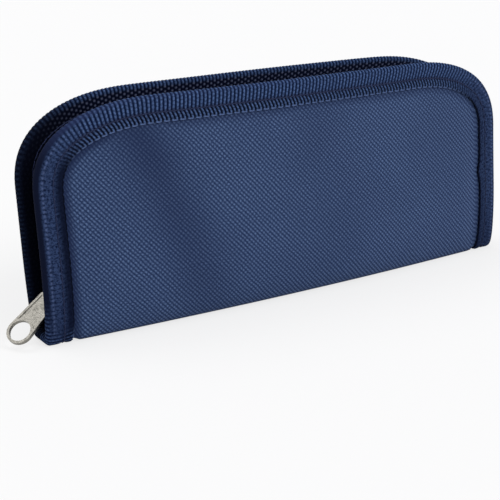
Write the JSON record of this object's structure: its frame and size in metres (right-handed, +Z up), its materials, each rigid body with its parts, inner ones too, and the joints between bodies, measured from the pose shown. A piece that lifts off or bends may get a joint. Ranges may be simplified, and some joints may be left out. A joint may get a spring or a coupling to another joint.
{
  "type": "insulin cooling case",
  "caption": "Padded zip case for an insulin pen: two bowed fabric leaves lined with bubble foil, bound edges, a coil zip round three sides and an elastic pen strap.",
  "frame": {"origin": "on the surface the closed case stands on, below the middle of its bounding box, the pull's overhang counted in", "axes": "+X along the case from the parked slider towards the zip's stopped end, +Y from the front leaf to the back leaf, +Z up from the folded spine"},
  "size_m": [0.2112, 0.036, 0.081],
  "materials": {
    "cover_fabric": "navy woven polyester, matt, slightly padded",
    "binding_tape": "navy ribbed grosgrain tape, folded and stitched",
    "lining_fabric": "navy nylon lining, slight sheen",
    "elastic": "navy flat woven elastic",
    "foam": "white closed-cell foam sheet",
    "bubble_foil": "metallised silver bubble film",
    "zip_tape": "dark navy herringbone zip tape",
    "zip_coil": "dark navy nylon coil",
    "nickel": "warm grey nickel-plated zinc, fine dents"
  },
  "bodies": {
    "spine": {"spine_cover": "cover_fabric", "spine_lining": "lining_fabric", "left_spine_fold": "binding_tape", "right_spine_fold": "binding_tape", "zip_bottom_stop": "nickel", "zip_tail": "zip_tape", "zip_end_tab": "lining_fabric", "front_top_stop": "nickel", "back_top_stop": "nickel"},
    "front_leaf": {"front_cover": "cover_fabric", "front_foam": "foam", "front_foil_liner": "bubble_foil", "front_binding": "binding_tape", "front_zip_tape": "zip_tape", "front_zip_coil": "zip_coil"},
    "back_leaf": {"back_cover": "cover_fabric", "back_foam": "foam", "back_foil_liner": "bubble_foil", "back_binding": "binding_tape", "back_zip_tape": "zip_tape", "back_zip_coil": "zip_coil", "elastic_strap": "elastic"},
    "slider": {"slider_body": "nickel"},
    "pull": {"pull_tab": "nickel"}
  },
  "joints": [
    {"name": "front_leaf_opening", "type": "hinge", "parent": "spine", "child": "front_leaf", "pos_m": [0.0056, -0.01153, 0.0081], "axis": [1, 0, 0], "range_deg": [0, 94], "deforming": ["front_zip_tape", "front_zip_coil", "back_zip_tape", "back_zip_coil", "spine_cover", "spine_lining", "left_spine_fold", "right_spine_fold"]},
    {"name": "back_leaf_opening", "type": "hinge", "parent": "spine", "child": "back_leaf", "pos_m": [0.0056, 0.00447, 0.009], "axis": [-1, 0, 0], "range_deg": [0, 86], "deforming": ["front_zip_tape", "front_zip_coil", "back_zip_tape", "back_zip_coil", "spine_cover", "spine_lining", "left_spine_fold", "right_spine_fold"]},
    {"name": "slider_travel", "type": "slide", "parent": "back_leaf", "child": "slider", "axis": [0, 0.0705, 0.9975], "range_m": [0, 0.02], "deforming": ["front_zip_tape", "front_zip_coil", "back_zip_tape", "back_zip_coil"]},
    {"name": "pull_swing", "type": "hinge", "parent": "slider", "child": "pull", "pos_m": [-0.08267, -0.00223, 0.02025], "axis": [0, 0.9975, -0.0705], "range_deg": [-1, 98]}
  ]
}
